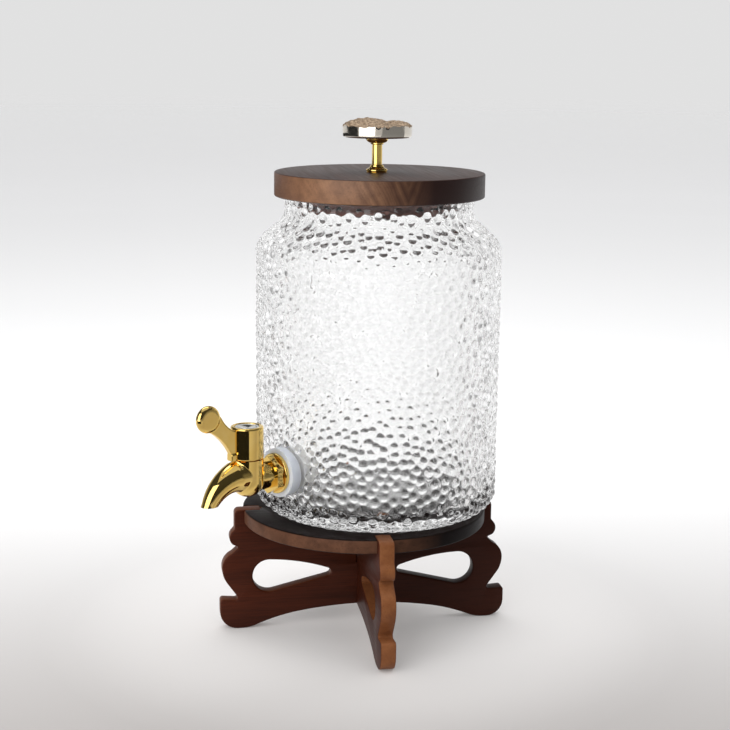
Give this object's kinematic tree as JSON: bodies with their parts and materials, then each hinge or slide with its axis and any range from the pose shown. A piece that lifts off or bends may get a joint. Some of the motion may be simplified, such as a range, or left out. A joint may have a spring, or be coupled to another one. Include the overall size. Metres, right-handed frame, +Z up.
{
  "type": "glass beverage dispenser",
  "caption": "Hammered glass jar with a lever tap, a wooden lid with a turned knob, and a slotted wooden stand that lifts the spout above a cup.",
  "frame": {"origin": "on the floor under the centre of the stand", "axes": "+Z up; the stand's boards lie along X and Y, with the leg nearest the viewer towards -Y"},
  "size_m": [0.2073, 0.1884, 0.3286],
  "materials": {
    "dark_wood": "satin dark stain",
    "walnut": "satin oil",
    "glass": "clear, hammered outside",
    "silicone": "translucent",
    "steel": "plain",
    "gold": "polished plating",
    "silver": "polished",
    "champagne": "polished sides, rough top",
    "black_rubber": "matte",
    "white_plastic": "plain"
  },
  "bodies": {
    "stand": {"stand_disc": "dark_wood", "stand_board_x": "dark_wood", "stand_board_y": "dark_wood"},
    "jar": {"glass_jar": "glass", "outer_washer": "silicone", "inner_washer": "silicone", "backing_washer": "white_plastic", "tail_nut": "white_plastic", "tap_body": "gold", "gland_nut": "steel"},
    "handle": {"tap_handle": "gold", "handle_screw": "steel", "handle_button": "silver", "valve_plug": "steel", "plug_o_rings": "black_rubber"},
    "lid": {"lid": "walnut", "lid_seal": "silicone", "knob_post": "gold", "knob_head": "champagne", "knob_screw": "steel", "knob_washer": "steel"}
  },
  "joints": [
    {"name": "jar_lift", "type": "slide", "parent": "stand", "child": "jar", "axis": [0, 0, 1], "range_m": [0, 0.06]},
    {"name": "handle_turn", "type": "hinge", "parent": "jar", "child": "handle", "pos_m": [-0.08122, -0.05489, 0.1145], "axis": [0, 0, 1], "range_deg": [0, 90]},
    {"name": "lid_lift", "type": "slide", "parent": "jar", "child": "lid", "axis": [0, 0, 1], "range_m": [0, 0.06]}
  ]
}
